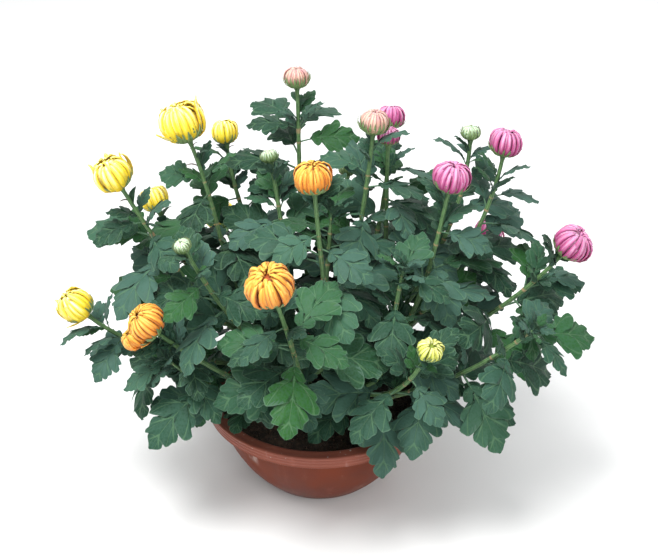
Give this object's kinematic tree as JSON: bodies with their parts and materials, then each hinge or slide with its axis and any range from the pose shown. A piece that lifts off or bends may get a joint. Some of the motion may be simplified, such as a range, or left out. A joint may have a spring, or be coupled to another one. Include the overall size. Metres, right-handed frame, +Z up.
{
  "type": "pot chrysanthemum",
  "caption": "Bushy chrysanthemum with lobed leaves and half-open yellow, orange and pink flower heads, growing in a round plastic bowl pot that stands on its flat foot.",
  "frame": {"origin": "middle of the flat underside of the pot's foot", "axes": "+Z up out of the pot, -Y to the front of the plant, +X to its right"},
  "size_m": [0.5197, 0.4305, 0.4235],
  "materials": {
    "pot_plastic": "moulded, satin, brick brown, paler on the ribbed rim",
    "soil": "dark peaty potting mix with brown bits",
    "foliage": "matt blue-green leaf and stem",
    "petals_yellow": "satin lemon-yellow petals",
    "petals_orange": "satin orange petals, pale at the tips",
    "petals_pink": "satin magenta-pink petals, pale at the tips",
    "petals_green": "pale green closed buds",
    "petals_lemon": "lemon-green opening bud"
  },
  "bodies": {
    "root": {"bloom_green_1": "petals_green", "bloom_green_2": "petals_green", "bloom_green_3": "petals_green", "bloom_green_4": "petals_green", "bloom_lemon_1": "petals_lemon", "bloom_orange_1": "petals_orange", "bloom_orange_2": "petals_orange", "bloom_orange_3": "petals_orange", "bloom_orange_4": "petals_orange", "bloom_pink_1": "petals_pink", "bloom_pink_2": "petals_pink", "bloom_pink_3": "petals_pink", "bloom_pink_4": "petals_pink", "bloom_pink_5": "petals_pink", "bloom_pink_6": "petals_pink", "bloom_pink_7": "petals_pink", "bloom_pink_8": "petals_pink", "bloom_pink_9": "petals_pink", "bloom_yellow_1": "petals_yellow", "bloom_yellow_2": "petals_yellow", "bloom_yellow_3": "petals_yellow", "bloom_yellow_4": "petals_yellow", "bloom_yellow_5": "petals_yellow", "bloom_yellow_6": "petals_yellow", "main_stem_back": "foliage", "main_stem_front": "foliage", "main_stem_orange": "foliage", "main_stem_pink": "foliage", "main_stem_yellow": "foliage", "pot": "pot_plastic", "shoot_green_1": "foliage", "shoot_green_2": "foliage", "shoot_green_3": "foliage", "shoot_green_4": "foliage", "shoot_leafy_1": "foliage", "shoot_leafy_2": "foliage", "shoot_leafy_3": "foliage", "shoot_leafy_4": "foliage", "shoot_leafy_5": "foliage", "shoot_lemon_1": "foliage", "shoot_orange_1": "foliage", "shoot_orange_2": "foliage", "shoot_orange_3": "foliage", "shoot_orange_4": "foliage", "shoot_pink_1": "foliage", "shoot_pink_2": "foliage", "shoot_pink_3": "foliage", "shoot_pink_4": "foliage", "shoot_pink_5": "foliage", "shoot_pink_6": "foliage", "shoot_pink_7": "foliage", "shoot_pink_8": "foliage", "shoot_pink_9": "foliage", "shoot_yellow_1": "foliage", "shoot_yellow_2": "foliage", "shoot_yellow_3": "foliage", "shoot_yellow_4": "foliage", "shoot_yellow_5": "foliage", "shoot_yellow_6": "foliage", "soil": "soil"}
  },
  "joints": []
}
